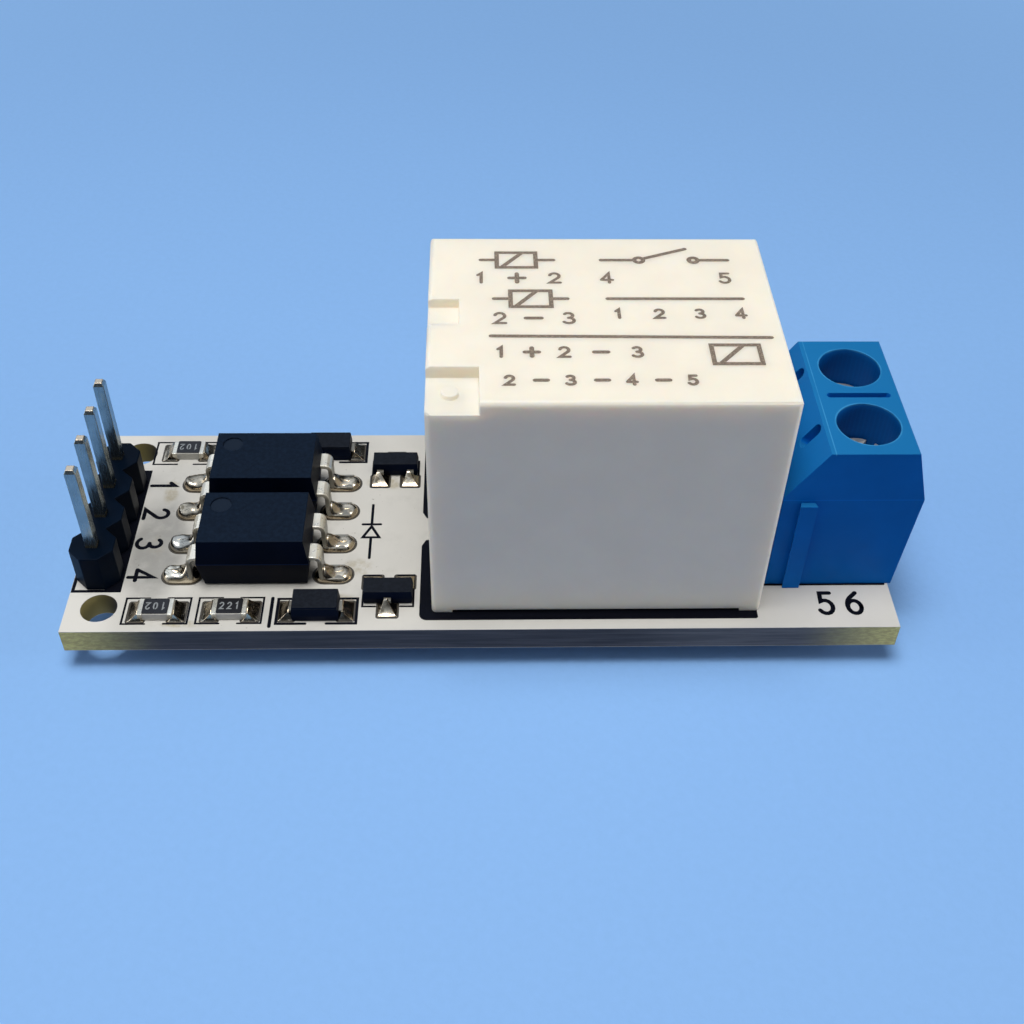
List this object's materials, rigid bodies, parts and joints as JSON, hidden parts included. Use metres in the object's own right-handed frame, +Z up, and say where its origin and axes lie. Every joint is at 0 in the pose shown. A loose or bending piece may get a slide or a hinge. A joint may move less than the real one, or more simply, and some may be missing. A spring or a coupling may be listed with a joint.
{
  "type": "relay module board",
  "caption": "Small circuit board with a latching relay, a screw terminal block for two wires, a pin header and two optocouplers.",
  "frame": {"origin": "under the centre of the bounding box, on the surface that the trimmed leads stand on", "axes": "+X along the board from the header to the screw terminal, +Y across the board, +Z up out of the component side"},
  "size_m": [0.0486, 0.017, 0.0186],
  "materials": {
    "board": "satin white solder mask over a glass and epoxy laminate",
    "header_plastic": "matt black moulded plastic",
    "header_pin": "tinned brass",
    "package": "matt black moulding compound",
    "tinned_lead": "tinned copper",
    "alumina": "unglazed white ceramic",
    "resistor_coat": "glossy black glass coat",
    "terminal_plastic": "satin blue moulded plastic",
    "clamp_metal": "plated steel",
    "screw_metal": "zinc plated steel",
    "terminal_metal": "tinned brass",
    "relay_plastic": "satin ivory moulded plastic",
    "bobbin_plastic": "dark moulded plastic",
    "set_wire": "enamelled copper wire",
    "reset_wire": "enamelled copper wire",
    "soft_iron": "plated soft iron",
    "magnet": "dark sintered magnet",
    "copper_alloy": "bare copper alloy strip",
    "contact_silver": "silver alloy",
    "solder": "bright solder"
  },
  "bodies": {
    "board_assembly": {"board": "board", "header_housing": "header_plastic", "header_pin_1": "header_pin", "header_pin_2": "header_pin", "header_pin_3": "header_pin", "header_pin_4": "header_pin", "opto_front_body": "package", "opto_front_leads": "tinned_lead", "opto_rear_body": "package", "opto_rear_leads": "tinned_lead", "resistor_1_body": "alumina", "resistor_1_caps": "tinned_lead", "resistor_1_coat": "resistor_coat", "resistor_2_body": "alumina", "resistor_2_caps": "tinned_lead", "resistor_2_coat": "resistor_coat", "resistor_3_body": "alumina", "resistor_3_caps": "tinned_lead", "resistor_3_coat": "resistor_coat", "diode_front_body": "package", "diode_front_leads": "tinned_lead", "diode_rear_body": "package", "diode_rear_leads": "tinned_lead", "transistor_front_body": "package", "transistor_front_leads": "tinned_lead", "transistor_rear_body": "package", "transistor_rear_leads": "tinned_lead", "terminal_housing": "terminal_plastic", "terminal_pin_1": "terminal_metal", "terminal_pin_2": "terminal_metal", "relay_cover": "relay_plastic", "relay_base": "relay_plastic", "relay_bobbin": "bobbin_plastic", "relay_set_coil": "set_wire", "relay_reset_coil": "reset_wire", "relay_core": "soft_iron", "relay_magnet": "magnet", "relay_yoke": "soft_iron", "relay_fixed_contact": "contact_silver", "relay_fixed_terminal": "copper_alloy", "relay_common_terminal": "copper_alloy", "relay_coil_pins": "tinned_lead", "solder_joints": "solder", "solder_fillets": "solder"},
    "screw_1": {"terminal_screw_1": "screw_metal"},
    "screw_2": {"terminal_screw_2": "screw_metal"},
    "clamp_1": {"terminal_clamp_1": "clamp_metal"},
    "clamp_2": {"terminal_clamp_2": "clamp_metal"},
    "armature_set": {"relay_armature": "soft_iron", "relay_contact_spring": "copper_alloy", "relay_moving_contact": "contact_silver"}
  },
  "joints": [
    {"name": "screw_1_turn", "type": "hinge", "parent": "board_assembly", "child": "screw_1", "pos_m": [0.02102, -0.00254, 0.0071], "axis": [0, 0, 1], "range_deg": [-1080, 0]},
    {"name": "clamp_1_rise", "type": "slide", "parent": "board_assembly", "child": "clamp_1", "axis": [0, 0, 1], "range_m": [0, 0.0015]},
    {"name": "screw_2_turn", "type": "hinge", "parent": "board_assembly", "child": "screw_2", "pos_m": [0.02102, 0.00254, 0.0071], "axis": [0, 0, 1], "range_deg": [-1080, 0]},
    {"name": "clamp_2_rise", "type": "slide", "parent": "board_assembly", "child": "clamp_2", "axis": [0, 0, 1], "range_m": [0, 0.0015]},
    {"name": "armature_close", "type": "hinge", "parent": "board_assembly", "child": "armature_set", "pos_m": [-0.00177, 0.0004, 0.01432], "axis": [0, 1, 0], "range_deg": [0, 3], "deforming": ["relay_contact_spring"]}
  ],
  "couplings": [
    {"joint": "screw_1_turn", "follows": "clamp_1_rise", "rad_per_m": -12560},
    {"joint": "screw_2_turn", "follows": "clamp_2_rise", "rad_per_m": -12560}
  ]
}
